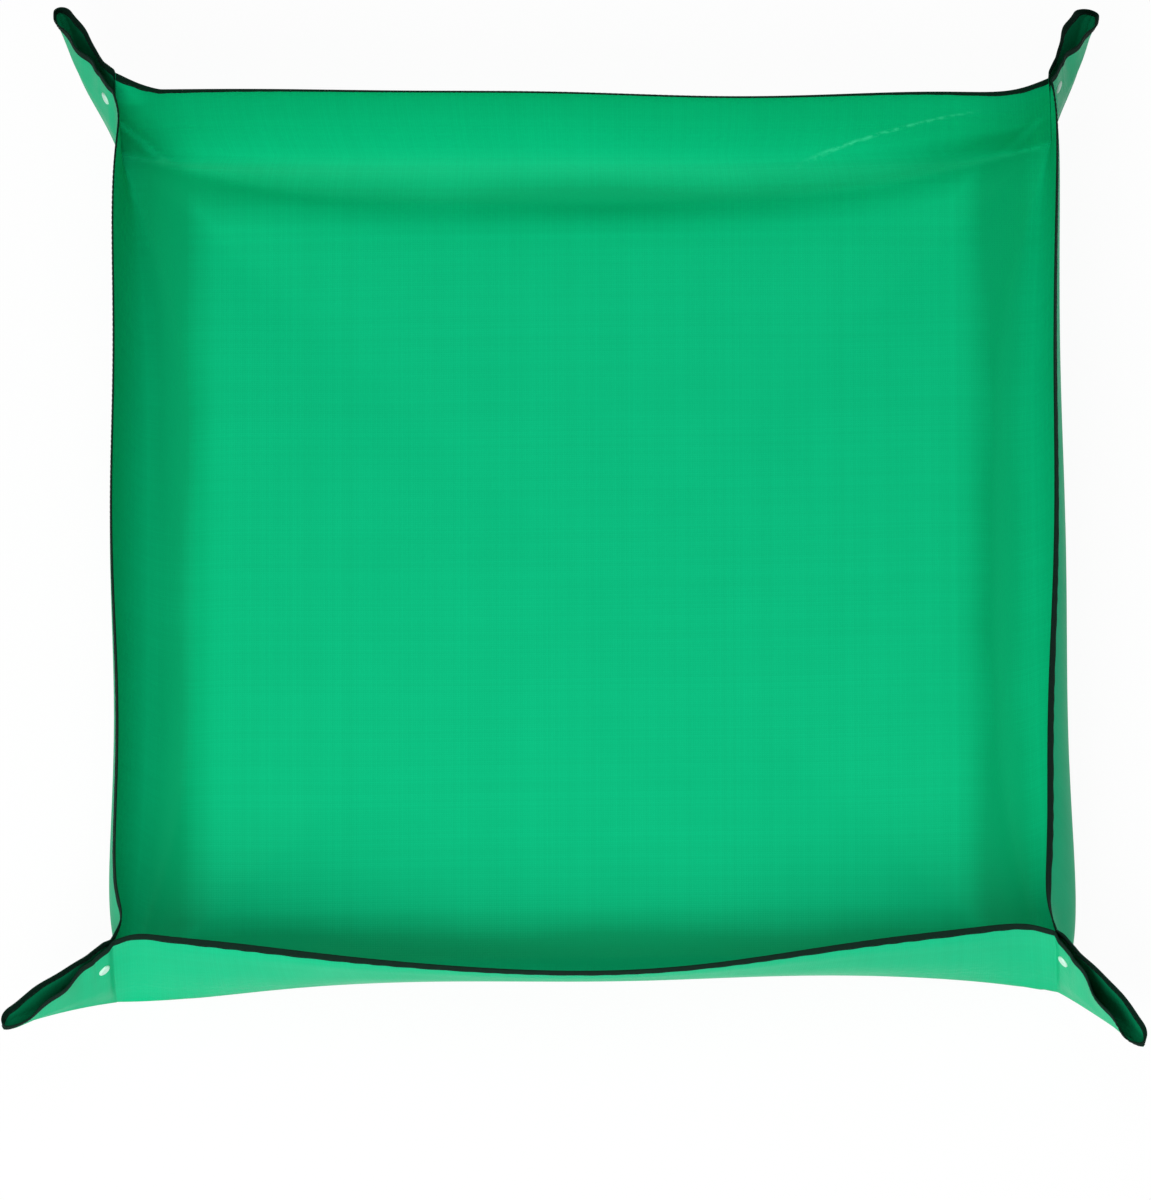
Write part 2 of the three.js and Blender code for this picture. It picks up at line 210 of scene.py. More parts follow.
def bezier(handles, share):
    """Points of a cubic curve at each share of its way."""
    first, second, third, last = handles
    share = share[..., None]
    rest = 1 - share
    start = rest ** 2 * (rest * first + 3 * share * second)
    return start + share ** 2 * (3 * rest * third + share * last)


def up_wall(wall, u, share=None, down=None):
    """Points of a wall's section, a share of the way from the foot of its bend, or so far below its edge."""
    roll, bend, edge = wall_shape(wall, u)
    hem = edge - bend
    hem *= HEM / np.linalg.norm(hem, axis=-1, keepdims=True)
    level = np.zeros_like(roll)
    handles = (np.stack([-roll, level], -1), np.stack([-roll * ROLL_LEAD, level], -1), bend, edge - hem)
    steps = np.linspace(0, 1, SECTION_STEPS + 1)[None, :]
    curve = bezier([handle[:, None, :] for handle in handles], np.repeat(steps, len(u), 0))
    pieces = np.linalg.norm(np.diff(curve, axis=1), axis=-1)
    lengths = np.concatenate([level[:, None], np.cumsum(pieces, axis=1)], axis=1)
    whole = lengths[:, -1] + HEM
    reach = share * whole if down is None else whole - down
    index = np.clip((lengths < reach[:, None]).sum(1), 1, SECTION_STEPS)
    rows = np.arange(len(u))
    before = lengths[rows, index - 1]
    part = np.clip((reach - before) / (lengths[rows, index] - before), 0, 1)
    points = bezier(handles, (index - 1 + part) / SECTION_STEPS)
    points += hem * (np.clip(reach - lengths[:, -1], 0, None) / HEM)[:, None]
    near_edge = np.clip(1 - (whole - reach) / CURL_REACH, 0, 1)
    points[:, 0] += tuck(wall, u, points[:, 1]) - CURL[wall] * near_edge ** 2 * fade_to_ends(u)
    return points


def stand_wall(wall, u, points):
    """Stands points of a wall's section up on its side of the tray. The walls part at each crease."""
    out = points[:, 0]
    up = points[:, 1]
    turn = wall * math.pi / 2
    next_wall = (wall + 1) % len(WALLS)
    heading = near_end(u, EAR_HEADING[wall] - turn, EAR_HEADING[next_wall] - turn)
    rise = up / CORNER_HEIGHT
    parting = near_end(u, 1, -1) * (crease_room(rise) + CLOTH)
    parting *= np.exp(-((from_corner(u) / PARTING_REACH) ** 2)) * smooth(up / PARTING_FOOT)
    swing = near_end(u, flare(wall, 1, rise), flare(next_wall, -1, rise))
    swing *= np.clip(1 - from_corner(u) / FLARE_REACH, 0, 1) ** FLARE_POWER
    x = u * (BASE_HALF + out) - np.sin(heading) * parting
    y = -(BASE_HALF + out + swing) + np.cos(heading) * parting
    turned_x = x * math.cos(turn) - y * math.sin(turn)
    turned_y = x * math.sin(turn) + y * math.cos(turn)
    return np.stack([turned_x, turned_y, up], -1)


def add_cloth(name, columns, rows):
    """A flat grid of cloth, one metre square until its points are placed."""
    bpy.ops.object.select_all(action="DESELECT")
    bpy.ops.mesh.primitive_grid_add(x_subdivisions=columns, y_subdivisions=rows, size=1.0)
    piece = bpy.context.object
    piece.name = name
    piece.data.name = name
    return piece


def points_of(piece):
    """The points of a piece's mesh."""
    points = np.empty(len(piece.data.vertices) * 3)
    piece.data.vertices.foreach_get("co", points)
    return points.reshape(-1, 3)


def set_points(piece, points):
    """Moves the points of a piece's mesh."""
    piece.data.vertices.foreach_set("co", np.ascontiguousarray(points, dtype=np.float32).ravel())
    piece.data.update()


def set_flat(piece, flat):
    """Keeps each point's place on the flat cloth, in metres, as the piece's UV map."""
    corners = np.empty(len(piece.data.loops), dtype=np.int32)
    piece.data.loops.foreach_get("vertex_index", corners)
    places = np.ascontiguousarray(flat[corners], dtype=np.float32)
    piece.data.uv_layers[0].data.foreach_set("uv", places.ravel())


def pick(piece):
    """Makes a piece the active one, and the only one that is selected."""
    bpy.ops.object.select_all(action="DESELECT")
    piece.select_set(True)
    bpy.context.view_layer.objects.active = piece


FOLD_ANGLE = math.radians(50)


def thicken(piece, thickness, offset, reverse=0):
    """Gives a sheet its thickness. The new reverse side may take the next material."""
    solidify = piece.modifiers.new("Thickness", "SOLIDIFY")
    solidify.thickness = thickness
    solidify.offset = offset
    solidify.material_offset = reverse
    pick(piece)
    bpy.ops.object.modifier_apply(modifier=solidify.name)
    bpy.ops.object.shade_smooth_by_angle(angle=FOLD_ANGLE)


FLOOR_CELLS = 64
WALL_CELLS = 34
FLOOR_CROWDING = 0.3
PLACE_DIGITS = 7


def crowd(stations, crowding):
    """Moves stations between -1 and 1 closer together towards both ends."""
    return (1 + crowding) * stations - crowding * stations ** 3


def flat_place(grid):
    """Spreads grid lines over the flat cloth, closer together near the lines where the walls turn up."""
    cell = np.rint(grid * 2 * (FLOOR_CELLS + WALL_CELLS))
    floor = BASE_HALF * crowd(np.clip(cell / FLOOR_CELLS, -1, 1), FLOOR_CROWDING)
    wall = np.clip(np.abs(cell) - FLOOR_CELLS, 0, None) * CORNER_HEIGHT / WALL_CELLS
    return floor + np.sign(cell) * wall


mat_cloth = add_cloth("mat_cloth", 2 * (FLOOR_CELLS + WALL_CELLS), 2 * (FLOOR_CELLS + WALL_CELLS))
set_points(mat_cloth, flat_place(points_of(mat_cloth)))

# The four corner squares belong to the ears and are cut away here.
bpy.context.tool_settings.mesh_select_mode = (False, False, True)
for polygon in mat_cloth.data.polygons:
    polygon.select = min(abs(polygon.center.x), abs(polygon.center.y)) > BASE_HALF
bpy.ops.object.mode_set(mode="EDIT")
bpy.ops.mesh.delete(type="FACE")
bpy.ops.object.mode_set(mode="OBJECT")

flat = points_of(mat_cloth)
set_flat(mat_cloth, flat[:, :2])
folded = flat.copy()
for wall in range(len(WALLS)):
    turn = wall * math.pi / 2
    beside = np.round(flat[:, 0] * math.cos(turn) + flat[:, 1] * math.sin(turn), PLACE_DIGITS)
    away = np.round(flat[:, 0] * math.sin(turn) - flat[:, 1] * math.cos(turn), PLACE_DIGITS)
    own = (away > 0) & (np.abs(beside) <= away)
    u = beside[own] / np.minimum(away[own], BASE_HALF)
    climb = away[own] - BASE_HALF
    roll = wall_shape(wall, u)[0]
    share = np.clip((climb + roll) / (roll + CORNER_HEIGHT), 0, 1)
    section = up_wall(wall, u, share)
    on_floor = climb < -roll
    inward = np.clip(-climb - roll, 0, None) / SWELL_REACH
    section[on_floor, 0] = climb[on_floor]
    section[on_floor, 1] = (SWELL * inward * np.exp(1 - inward) * fade_to_ends(u))[on_floor]
    folded[own] = stand_wall(wall, u, section)
set_points(mat_cloth, folded)


def new_finish(name):
    """A new material and its node tree."""
    material = bpy.data.materials.new(name)
    material.use_nodes = True
    return material, material.node_tree


def feed(tree, socket, value):
    """Links a socket to another node's output, or sets it to a fixed value."""
    if isinstance(value, bpy.types.NodeSocket):
        tree.links.new(value, socket)
    else:
        socket.default_value = value


def set_surface(tree, surface):
    """Feeds the sockets of a material's shader, each by its name."""
    for name, value in surface.items():
        feed(tree, tree.nodes["Principled BSDF"].inputs[name], value)


def reckon(tree, operation, *values):
    """A Math node on up to three values, each a number or another node's output."""
    node = tree.nodes.new("ShaderNodeMath")
    node.operation = operation
    for socket, value in zip(node.inputs, values):
        feed(tree, socket, value)
    return node.outputs[0]


def add_noise(tree, places, scale, detail):
    """Cloudy noise at the given places, from about 0 to 1."""
    noise = tree.nodes.new("ShaderNodeTexNoise")
    noise.inputs["Scale"].default_value = scale
    noise.inputs["Detail"].default_value = detail
    tree.links.new(places, noise.inputs["Vector"])
    return noise.outputs["Fac"]


def mix_colours(tree, share, first, second):
    """A mix of two colours, each written down or another node's output."""
    mix = tree.nodes.new("ShaderNodeMix")
    mix.data_type = "RGBA"
    tree.links.new(share, mix.inputs["Factor"])
    feed(tree, mix.inputs["A"], first)
    feed(tree, mix.inputs["B"], second)
    return mix.outputs["Result"]


def add_relief(tree, height, strength, distance, under=None):
    """Fine relief from a height, laid over other relief if there is any."""
    bump = tree.nodes.new("ShaderNodeBump")
    bump.inputs["Strength"].default_value = strength
    bump.inputs["Distance"].default_value = distance
    tree.links.new(height, bump.inputs["Height"])
    if under is not None:
        tree.links.new(under, bump.inputs["Normal"])
    return bump.outputs["Normal"]


def woven_height(tree, threads_per_metre):
    """Height of a plain weave, from 0 to 1, with the count of threads each way and the cloth's flat map."""
    flat_map = tree.nodes.new("ShaderNodeTexCoord").outputs["UV"]
    scale = tree.nodes.new("ShaderNodeMapping")
    scale.inputs["Scale"].default_value = (threads_per_metre, threads_per_metre, 1)
    scale.inputs["Location"].default_value = (0, 0, 0.5)
    tree.links.new(flat_map, scale.inputs["Vector"])
    parts = tree.nodes.new("ShaderNodeSeparateXYZ")
    tree.links.new(scale.outputs["Vector"], parts.inputs["Vector"])
    counts = (parts.outputs["X"], parts.outputs["Y"])
    over = tree.nodes.new("ShaderNodeTexChecker")
    over.inputs["Scale"].default_value = 1.0
    tree.links.new(scale.outputs["Vector"], over.inputs["Vector"])
    rounds = []
    for count in counts:
        angle = reckon(tree, "MULTIPLY", count, math.pi)
        rounds.append(reckon(tree, "ABSOLUTE", reckon(tree, "SINE", angle)))
    layers = []
    for along, beside in (rounds, rounds[::-1]):
        bulge = reckon(tree, "MULTIPLY", reckon(tree, "ADD", beside, 1.0), 0.5)
        layers.append(reckon(tree, "MULTIPLY", along, bulge))
    weave = tree.nodes.new("ShaderNodeMix")
    tree.links.new(over.outputs["Fac"], weave.inputs["Factor"])
    tree.links.new(layers[0], weave.inputs["A"])
    tree.links.new(layers[1], weave.inputs["B"])
    return weave.outputs["Result"], counts, flat_map


def hold(tree, share):
    """A share kept between 0 and 1."""
    return reckon(tree, "MINIMUM", reckon(tree, "MAXIMUM", share, 0.0), 1.0)


def soft_band(tree, place, line, half):
    """A band on both sides of a line on the cloth, from 1 on the line to 0 so far beside it."""
    beside = reckon(tree, "ABSOLUTE", reckon(tree, "SUBTRACT", place, line))
    share = reckon(tree, "SUBTRACT", 1.0, reckon(tree, "DIVIDE", beside, half))
    return reckon(tree, "MAXIMUM", share, 0.0)


# A painted highlight along an old crease on the back wall: a line on the flat cloth, broken up by the
# crinkles.
CREASE_GLINT_PALE = (0.040, 0.66, 0.33, 1)
MARK_START = (0.175, 0.364)
MARK_END = (0.332, 0.456)
MARK_WIDTH = 0.0045
MARK_FADE = 4.0
MARK_GAPS = 0.4
MARK_CONTRAST = 5.0


def crease_glint(tree, places, crinkles):
    """A broken painted highlight where the cloth was once folded, on the flat cloth, from 0 to 1."""
    along = reckon(tree, "SUBTRACT", places[0], MARK_START[0])
    along = reckon(tree, "DIVIDE", along, MARK_END[0] - MARK_START[0])
    line = reckon(tree, "MULTIPLY", along, MARK_END[1] - MARK_START[1])
    line = reckon(tree, "ADD", line, MARK_START[1])
    rest = reckon(tree, "SUBTRACT", 1.0, along)
    ends = reckon(tree, "MULTIPLY", reckon(tree, "MINIMUM", along, rest), MARK_FADE)
    broken = reckon(tree, "MULTIPLY", reckon(tree, "SUBTRACT", crinkles, MARK_GAPS), MARK_CONTRAST)
    glint = soft_band(tree, places[1], line, MARK_WIDTH)
    for share in (ends, broken):
        glint = reckon(tree, "MULTIPLY", glint, hold(tree, share))
    return glint


# The turn from floor to wall, by its distance from the middle of the flat cloth: painted shade in a deeper
# green at the foot and on the front and side walls, and a polished, crinkled bend. The fold of painted shade
# at the back rises by FOLD_RISE to its left and its right end.
FLOOR_LINE = 0.315
FOOT_LINE = 0.335
BEND_LINE = 0.405
BAND_HALF = 0.035
FOLD_RISE = (0.023, 0.062)
FOLD_POWER = 3.0


def level_fold(tree, places, sides):
    """Distance across the cloth, with the rising fold of painted shade at the foot of the back wall made
    level.
    """
    along = reckon(tree, "POWER", reckon(tree, "DIVIDE", sides[0], BASE_HALF), FOLD_POWER)
    right = reckon(tree, "GREATER_THAN", places[0], 0.0)
    rise = reckon(tree, "MULTIPLY", right, FOLD_RISE[1] - FOLD_RISE[0])
    rise = reckon(tree, "MULTIPLY", along, reckon(tree, "ADD", rise, FOLD_RISE[0]))
    back = reckon(tree, "GREATER_THAN", places[1], 0.0)
    return reckon(tree, "SUBTRACT", sides[1], reckon(tree, "MULTIPLY", rise, back))


def uneven_threads(tree, counts):
    """Each thread's own shade, from 0 to 1, added up over the two ways of the weave."""
    streaks = []
    for count in counts:
        streak = tree.nodes.new("ShaderNodeTexWhiteNoise")
        streak.noise_dimensions = "1D"
        tree.links.new(reckon(tree, "FLOOR", count), streak.inputs["W"])
        streaks.append(streak.outputs["Value"])
    return reckon(tree, "ADD", streaks[0], streaks[1])


# Finish of the cloth. A depth is a share of the way from the light to the deep green. The depths at the
# walls' feet and on the front and side walls are painted shade, and the foot's depth gains with the distance
# to the front or the back. A noise is its scale and detail, and a relief its strength and height.
COATED_GREEN = ((0.0027, 0.54, 0.232, 1), (0.0012, 0.36, 0.140, 1))
# The reverse side is paler partly in its own tone and partly by painted sheen, standing in for light on the
# outer faces.
REVERSE_GREEN_AND_SHEEN = ((0.008, 0.60, 0.285, 1), (0.005, 0.43, 0.190, 1))
COATED_GLOSS = 0.025
THREADS = 520
BLOTCHES = (14, 3)
FOLDS = (5, 1)
CRINKLES = (150, 5)
THREAD_DEPTH = 0.09
WEAVE_DEPTH = 0.18
BLOTCH_DEPTH = 0.2
WALL_SHADE = 0.35
FOOT_SHADE = 1.2
FOOT_SHADE_GAIN = 1.8
DULLNESS = 0.36
BLOTCH_DULLNESS = 0.16
BEND_POLISH = 0.14
WEAVE_RELIEF = (0.5, 0.00012)
CRINKLE_RELIEF = (0.6, 0.0008)


def finish_cloth(name, colours, gloss):
    """Coated plain weave: uneven threads, blotches, painted shade at the walls' feet, crinkled at their
    bends.
    """
    material, tree = new_finish(name)
    weave, counts, flat_map = woven_height(tree, THREADS)
    blotches = add_noise(tree, flat_map, *BLOTCHES)
    folds = add_noise(tree, flat_map, *FOLDS)
    crinkles = add_noise(tree, flat_map, *CRINKLES)
    places = [reckon(tree, "DIVIDE", count, THREADS) for count in counts]
    sides = [reckon(tree, "ABSOLUTE", place) for place in places]
    from_middle = reckon(tree, "MAXIMUM", sides[0], level_fold(tree, places, sides))
    bend = soft_band(tree, from_middle, BEND_LINE, BAND_HALF)
    # Painted shade: a deeper green in a band at the foot of each wall, stronger towards the front and the
    # back.
    strength = reckon(tree, "ADD", reckon(tree, "MULTIPLY", sides[1], FOOT_SHADE_GAIN), FOOT_SHADE)
    strength = reckon(tree, "MULTIPLY", folds, strength)
    foot = reckon(tree, "MULTIPLY", soft_band(tree, from_middle, FOOT_LINE, BAND_HALF), strength)
    # Painted shade: the front and side walls are a deeper green past the floor line.
    forward = reckon(tree, "MULTIPLY", places[1], -1.0)
    past_floor = reckon(tree, "SUBTRACT", reckon(tree, "MAXIMUM", sides[0], forward), FLOOR_LINE)
    upright = hold(tree, reckon(tree, "DIVIDE", past_floor, BAND_HALF))
    shades = (
        (uneven_threads(tree, counts), THREAD_DEPTH),
        (reckon(tree, "SUBTRACT", 1.0, weave), WEAVE_DEPTH),
        (upright, WALL_SHADE),
        (blotches, BLOTCH_DEPTH),
    )
    deepness = foot
    for shade, depth in shades:
        deepness = reckon(tree, "ADD", deepness, reckon(tree, "MULTIPLY", shade, depth))
    # Painted highlight: a pale broken line along the old crease on the back wall.
    glint = crease_glint(tree, places, crinkles)
    dull = reckon(tree, "ADD", reckon(tree, "MULTIPLY", blotches, BLOTCH_DULLNESS), DULLNESS)
    polish = reckon(tree, "MULTIPLY", bend, BEND_POLISH)
    weave_relief = add_relief(tree, weave, *WEAVE_RELIEF)
    crinkled = reckon(tree, "MULTIPLY", crinkles, bend)
    set_surface(tree, {
        "Base Color": mix_colours(tree, glint, mix_colours(tree, deepness, *colours), CREASE_GLINT_PALE),
        "Roughness": reckon(tree, "SUBTRACT", dull, polish),
        "Specular IOR Level": gloss,
        "Normal": add_relief(tree, crinkled, *CRINKLE_RELIEF, under=weave_relief),
    })
    return material


inside_finish = finish_cloth("coated_green_cloth", COATED_GREEN, COATED_GLOSS)
reverse_finish = finish_cloth("reverse_cloth_and_painted_sheen", REVERSE_GREEN_AND_SHEEN, COATED_GLOSS)
mat_cloth.data.materials.append(inside_finish)
mat_cloth.data.materials.append(reverse_finish)
thicken(mat_cloth, CLOTH, 1, reverse=1)
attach(mat_cloth, "tray")
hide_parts("mat_sheet")

# Ears: at each corner the same cloth is folded along a slanting keel into two leaves, which lie close
# together at the snap and gape towards the tip like the bow of a boat. The strip of each leaf next to the
# crease is a piece of its own.
EARS = ("front_left", "front_right", "back_right", "back_left")
EAR_CORNER = tuple((x * BASE_HALF, y * BASE_HALF) for x, y in ((-1, -1), (1, -1), (1, 1), (-1, 1)))
EAR_LENGTH = (0.114, 0.114, 0.118, 0.118)
EAR_DROOP = (0.0, 0.036, 0.065, 0.048)
DROOP_POWER = 1.6
EAR_GAPE = (0.0055, 0.0065, 0.0075, 0.0045)
EAR_BEND = (0.0, 0.0, 0.0, -0.0010)
KEEL_SWAY = (0.0, 0.0, -0.0052, 0.0056)
KEEL_ARCH = (0.006, -0.003, 0.006, 0.006)
KEEL_FOOT = 0.0003
KEEL_BLEND = 0.3
SNAP_OUT = 0.012
SNAP_UP = 0.084
SNAP_GAP = 0.004
SNAP_PRESS = 0.0007
SNAP_DIMPLE = 0.008
PINCH_OUT = 0.008
PINCH_FLAT = 0.020
PINCH_SHARE = 0.2
MOUTH_RISE = 0.6
MOUTH_WAVES = 8.5
WAVE_SHIFT = 2
NEAR_WAVE = 0.0016
FAR_WAVE = 0.0004
NOSE = 0.86
TIP_HEIGHT = 0.010


def ear_point(ear, side, share, rise):
    """A point in the middle of a leaf's cloth, from the crease (0) to the tip (1) and up from the keel."""
    reach = math.sqrt(EAR_LENGTH[ear] ** 2 - EAR_DROOP[ear] ** 2)
    turn = math.pi * np.clip((share - PINCH_SHARE) / (1 - PINCH_SHARE), 0, 1)
    past_pinch = (1 - np.cos(turn)) / 2
    out = PINCH_FLAT * np.clip(share / PINCH_SHARE, None, 1) + (reach - PINCH_FLAT) * past_pinch
    sag = EAR_DROOP[ear] * (out / reach) ** DROOP_POWER
    arch = 4 * KEEL_ARCH[ear] * (out / reach) * (1 - out / reach)
    keel = KEEL_FOOT + (CORNER_HEIGHT - TIP_HEIGHT - KEEL_FOOT) * out / reach + arch - sag
    up = keel + (CORNER_HEIGHT - sag - keel) * rise
    from_snap = ((out - SNAP_OUT) ** 2 + (up - SNAP_UP) ** 2) / SNAP_DIMPLE ** 2
    snug = (SNAP_GAP / 2 + SNAP_PRESS * (1 - np.exp(-from_snap))) * smooth(rise / KEEL_BLEND)
    room = crease_room(rise)
    room += (snug - room) * smooth(out / PINCH_OUT)
    mouth = EAR_GAPE[ear] * smooth(past_pinch / MOUTH_RISE) * rise
    nose = np.sqrt(1 - np.clip((past_pinch - NOSE) / (1 - NOSE), 0, 1) ** 2)
    wave = np.where(side == NEAR_SIDE[ear], NEAR_WAVE, FAR_WAVE)
    ripple = wave * np.sin(MOUTH_WAVES * math.pi * share + WAVE_SHIFT * ear)
    across = side * (room + mouth + CLOTH / 2) * nose + ripple * np.sin(turn) * rise ** 2
    sway = KEEL_SWAY[ear] * (1 - rise) * np.sin(math.pi * out / reach) ** 2
    across += EAR_BEND[ear] * (out / reach) ** 2 + sway
    heading = EAR_HEADING[ear]
    wall = np.where(side > 0, ear, ear - 1)
    swing_heading = (wall - 1) * math.pi / 2 - heading
    swing = flare(ear, side, rise) * np.clip(1 - out / FLARE_REACH, 0, 1) ** FLARE_POWER
    out = out + swing * np.cos(swing_heading)
    across = across + swing * np.sin(swing_heading)
    x = EAR_CORNER[ear][0] + out * math.cos(heading) - across * math.sin(heading)
    y = EAR_CORNER[ear][1] + out * math.sin(heading) + across * math.cos(heading)
    return np.stack([x, y, up], -1)


WELD = 0.00001


def weld(piece):
    """Merges the points of a piece that lie on each other."""
    pick(piece)
    bpy.ops.object.mode_set(mode="EDIT")
    bpy.ops.mesh.select_all(action="SELECT")
    bpy.ops.mesh.remove_doubles(threshold=WELD)
    bpy.ops.object.mode_set(mode="OBJECT")


def snap_axis(ear):
    """Direction of an ear's snap, from its middle towards the stud's cap."""
    heading = EAR_HEADING[ear]
    return np.array([-math.sin(heading), math.cos(heading), 0]) * NEAR_SIDE[ear]


def open_with_snap(piece):
    """Bakes the place of a piece of an ear into its mesh."""
    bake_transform(piece)


CREASE_SHARE = 0.022
FLARED_SHARE = 0.100


def is_flared(ear, side):
    """Whether a leaf swings away from its crease above the snap."""
    return np.logical_and(side != NEAR_SIDE[ear], EAR_FLARE[ear] > 0)


def crease_share(ear, side, rise=1.0):
    """Share of a leaf next to its crease that is laid as a strip of its own. A flared leaf needs more of it.
    """
    return CREASE_SHARE + np.where(is_flared(ear, side), FLARED_SHARE - CREASE_SHARE, 0) * rise


def bend_at_crease(piece, ear, side):
    """Bakes the place of the strip of a leaf next to its crease into its mesh."""
    crease = ear_point(ear, side, 0.0, 1.0)
    split = ear_point(ear, side, crease_share(ear, side), 1.0)
    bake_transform(piece)


def leaf_name(ear, side):
    """The leaf on one side of an ear, named for its half of the snap."""
    return "stud" if side == NEAR_SIDE[ear] else "socket"


LIFT_POWER = 1.3


def lay_leaf(cloth, ear, lift, strip=False):
    """Lays cloth on an ear, from one leaf's edge (-1) over the keel (0) to the other's (1).

    A strip fills the room between the crease and the rest of its leaf.
    """
    rise = np.abs(lift) ** LIFT_POWER
    side = np.where(lift < 0, -1, 1)
    split = crease_share(ear, side, rise)
    inner, outer = (0.0, split) if strip else (split, 1.0)
    share = inner + (outer - inner) * (points_of(cloth)[:, 0] + 0.5)
    set_points(cloth, ear_point(ear, side, share, rise))
    along = CORNER_HEIGHT * share
    height = along + (CORNER_HEIGHT - along) * rise
    flat = np.where((lift < 0)[:, None], np.stack([along, height], -1), np.stack([height, along], -1))
    set_flat(cloth, flat + BASE_HALF)
    weld(cloth)
    # The leaves' inner faces take the deeper green that is painted shade inside the ears.
    cloth.data.materials.append(ear_shade_finish)
    cloth.data.materials.append(reverse_finish)
    thicken(cloth, CLOTH, 0, reverse=1)


# Inside the ears: the cloth's finish in a much deeper green, which is painted shade of the narrow pockets.
EAR_SHADE_GREEN = ((0.0030, 0.29, 0.120, 1), (0.0018, 0.17, 0.066, 1))
EAR_SHADE_GLOSS = 0.03
LEAF_COLUMNS = 64
LEAF_ROWS = 64
STRIP_COLUMNS = 6

ear_shade_finish = finish_cloth("painted_shade_ear_cloth", EAR_SHADE_GREEN, EAR_SHADE_GLOSS)
ear_cloths = []
for ear, name in enumerate(EARS):
    cloth = add_cloth(f"{name}_ear_cloth", LEAF_COLUMNS, LEAF_ROWS)
    lay_leaf(cloth, ear, points_of(cloth)[:, 1] * 2)
    ear_cloths.append(cloth)
    for side in (-1, 1):
        strip = add_cloth(f"{name}_{leaf_name(ear, side)}_crease_cloth", STRIP_COLUMNS, LEAF_ROWS // 2)
        lay_leaf(strip, ear, points_of(strip)[:, 1] + side / 2, strip=True)
        bend_at_crease(strip, ear, side)

# Edge binding: a dark woven tape, folded over the raw edge of the cloth and sewn through with one row of
# thread, which shows on both faces. It runs along the four rims and round the mouth of each ear.
TAPE = 0.00035
TAPE_GAP = 0.00005
TAPE_WIDTH = 0.008
TAPE_OFFSET = CLOTH / 2 + TAPE_GAP + TAPE / 2
TAPE_DARK = (0.002, 0.011, 0.006, 1)
TAPE_WORN = (0.006, 0.024, 0.015, 1)
TAPE_THREADS = 1500
TAPE_WEAR = (180, 4)
TAPE_RELIEF = (0.5, 0.0001)
TAPE_ROUGHNESS = 0.75
TAPE_GLOSS = 0.03

tape_finish, tree = new_finish("dark_woven_tape")
weave, _, flat_map = woven_height(tree, TAPE_THREADS)
wear = add_noise(tree, flat_map, *TAPE_WEAR)
worn = reckon(tree, "MULTIPLY", reckon(tree, "ADD", weave, wear), 0.5)
set_surface(tree, {
    "Base Color": mix_colours(tree, worn, TAPE_DARK, TAPE_WORN),
    "Roughness": TAPE_ROUGHNESS,
    "Specular IOR Level": TAPE_GLOSS,
    "Normal": add_relief(tree, weave, *TAPE_RELIEF),
})

LEG_ROWS = 8
FOLD_ROWS = 6
TAPE_ROWS = 2 * LEG_ROWS + FOLD_ROWS
EDGE_DEPTH = 0.003
PUCKER = 0.0004
PUCKER_PITCH = 0.021
PUCKER_DRIFT = 1.7
DRIFT_RATE = 60
TINY = 1e-12


def tape_section():
    """Rows of the folded tape: distance below the edge, distance to the inside, and height over the edge."""
    rows = []
    for row in range(TAPE_ROWS + 1):
        turn = math.pi * min(max((row - LEG_ROWS) / FOLD_ROWS, 0), 1)
        from_fold = max(LEG_ROWS - row, row - LEG_ROWS - FOLD_ROWS, 0)
        down = TAPE_WIDTH * from_fold / LEG_ROWS
        rows.append((down, -TAPE_OFFSET * math.cos(turn), TAPE_OFFSET * math.sin(turn)))
    return np.array(rows)


def unit(vectors):
    """Vectors made one long."""
    return vectors / np.maximum(np.linalg.norm(vectors, axis=-1, keepdims=True), TINY)


def lengths_along(points):
    """The length of a line of points up to each of them."""
    return np.concatenate([[0], np.cumsum(np.linalg.norm(np.diff(points, axis=0), axis=1))])


def lay_tape(name, leaf_at, columns):
    """Folds tape over an edge. leaf_at gives the middle of the cloth so far below it, at each column.

    Gives the tape, and the edge's length so far, its direction and its inner side at each column.
    """
    tape = add_cloth(name, columns, TAPE_ROWS)
    grid = points_of(tape)
    column = np.rint((grid[:, 0] + 0.5) * columns).astype(int)
    row = np.rint((grid[:, 1] + 0.5) * TAPE_ROWS).astype(int)
    section = tape_section()
    edge = leaf_at(np.zeros(columns + 1))
    run = lengths_along(edge)
    below = leaf_at(np.full(columns + 1, EDGE_DEPTH))
    up = unit(edge - below)
    along = unit(np.gradient(edge, axis=0))
    inside = unit(np.cross(up, along))
    ripple = PUCKER * np.sin(run * 2 * math.pi / PUCKER_PITCH + PUCKER_DRIFT * np.sin(run * DRIFT_RATE))
    points = np.empty_like(grid)
    for index, (down, across, over) in enumerate(section):
        middle = leaf_at(np.full(columns + 1, down) + ripple * down / TAPE_WIDTH)
        own = row == index
        points[own] = (middle + inside * across + up * over)[column[own]]
    set_points(tape, points)
    set_flat(tape, np.stack([run[column], lengths_along(section)[row]], -1))
    thicken(tape, TAPE, 0)
    tape.data.materials.append(tape_finish)
    return tape, (run, along, inside)


THREAD_DARK = (0.005, 0.018, 0.011, 1)
THREAD_SHEEN = (0.014, 0.038, 0.026, 1)
THREAD_PLY = (1400, 2)
THREAD_ROUGHNESS = 0.6
THREAD_GLOSS = 0.06

thread_finish, tree = new_finish("dark_sewing_thread")
ply = add_noise(tree, tree.nodes.new("ShaderNodeTexCoord").outputs["Object"], *THREAD_PLY)
set_surface(tree, {
    "Base Color": mix_colours(tree, ply, THREAD_DARK, THREAD_SHEEN),
    "Roughness": THREAD_ROUGHNESS,
    "Specular IOR Level": THREAD_GLOSS,
})

STITCH_PITCH = 0.0045
STITCH_LENGTH = 0.0030
STITCH_RADIUS = 0.00028
STITCH_SIDES = 6
STITCH_BODY = 2 / 3
STITCH_POINT = 0.4
STITCH_DROP = 0.0062
STITCH_MARGIN = 0.007
STITCH_LIFT = TAPE_OFFSET + TAPE / 2

